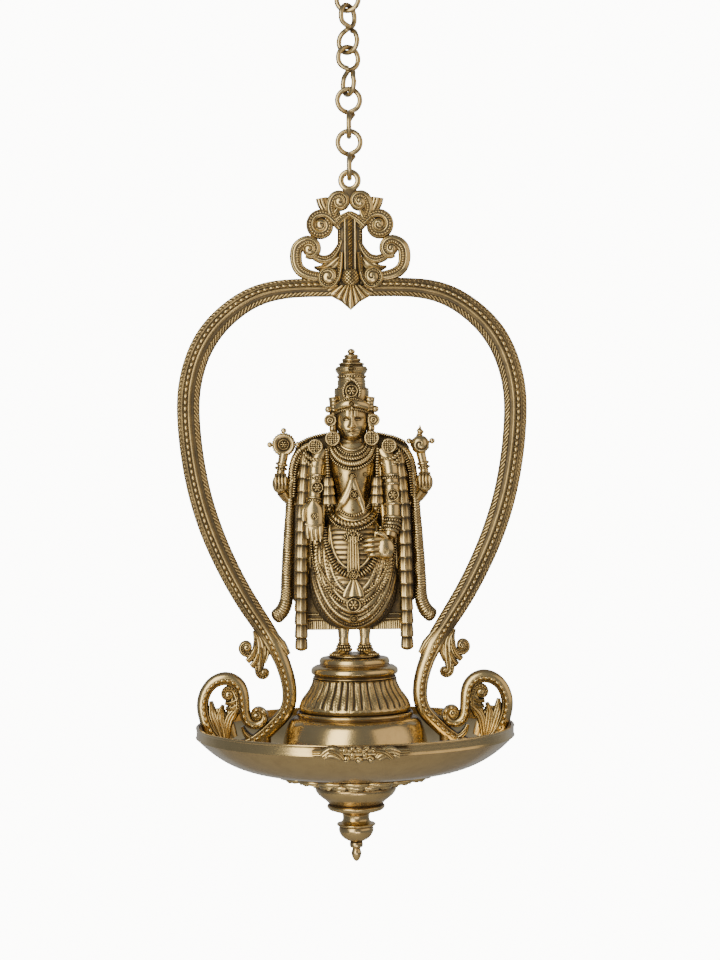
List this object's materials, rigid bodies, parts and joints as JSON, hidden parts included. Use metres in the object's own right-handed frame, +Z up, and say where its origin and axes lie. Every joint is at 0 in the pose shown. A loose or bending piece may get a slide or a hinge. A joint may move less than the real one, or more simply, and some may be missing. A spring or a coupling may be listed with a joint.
{
  "type": "hanging oil lamp",
  "caption": "Hanging brass diya: twisted-link chain, openwork crest, heart-shaped arch of scrolled arms over a standing deity figure on a pedestal in an oil pan, turned finial below.",
  "frame": {"origin": "the seat at the top of the inside of the ceiling hook's open bend, where the lamp hangs", "axes": "+Z up along the hanging line, -Y towards the viewer of the figure, +X to that viewer's right"},
  "size_m": [0.2454, 0.2269, 0.6727],
  "materials": {
    "cast_brass": "aged satin casting with dark recesses",
    "turned_brass": "aged, lathe-turned and polished",
    "brass_wire": "aged drawn wire"
  },
  "bodies": {
    "hook": {"ceiling_hook": "brass_wire"},
    "link_1": {"chain_link_1": "brass_wire"},
    "link_2": {"chain_link_2": "brass_wire"},
    "link_3": {"chain_link_3": "brass_wire"},
    "link_4": {"chain_link_4": "brass_wire"},
    "link_5": {"chain_link_5": "brass_wire"},
    "lamp": {"right_arm": "cast_brass", "left_arm": "cast_brass", "crest": "cast_brass", "left_rivet": "cast_brass", "right_rivet": "cast_brass", "fluted_skirt": "cast_brass", "petal_plate": "cast_brass", "rosette_collar": "cast_brass", "deity_figure": "cast_brass", "rim_spray": "cast_brass", "oil_pan": "turned_brass", "left_arm_washer": "turned_brass", "left_arm_screw": "turned_brass", "right_arm_washer": "turned_brass", "right_arm_screw": "turned_brass", "pedestal_dome": "turned_brass", "pedestal_cap": "turned_brass", "finial_bell": "turned_brass", "finial_spindle": "turned_brass", "finial_cup": "turned_brass", "finial_tip_nut": "turned_brass", "tie_rod": "brass_wire"}
  },
  "joints": [
    {"name": "link_1_swing", "type": "hinge", "parent": "hook", "child": "link_1", "pos_m": [0, 0, -0.04295], "axis": [0.9613, -0.2756, 0], "range_deg": [-30, 30]},
    {"name": "link_2_swing", "type": "hinge", "parent": "link_1", "child": "link_2", "pos_m": [0, 0, -0.07185], "axis": [0.9613, -0.2756, 0], "range_deg": [-30, 30]},
    {"name": "link_3_swing", "type": "hinge", "parent": "link_2", "child": "link_3", "pos_m": [0, 0, -0.10125], "axis": [0.809, -0.5878, 0], "range_deg": [-30, 30]},
    {"name": "link_4_swing", "type": "hinge", "parent": "link_3", "child": "link_4", "pos_m": [0, 0, -0.13065], "axis": [0.4848, -0.8746, 0], "range_deg": [-30, 30]},
    {"name": "link_5_swing", "type": "hinge", "parent": "link_4", "child": "link_5", "pos_m": [0, 0, -0.16005], "axis": [0, 1, 0], "range_deg": [-30, 30]},
    {"name": "lamp_swing", "type": "hinge", "parent": "link_5", "child": "lamp", "pos_m": [0, 0, -0.18945], "axis": [0, 1, 0], "range_deg": [-30, 30]}
  ]
}
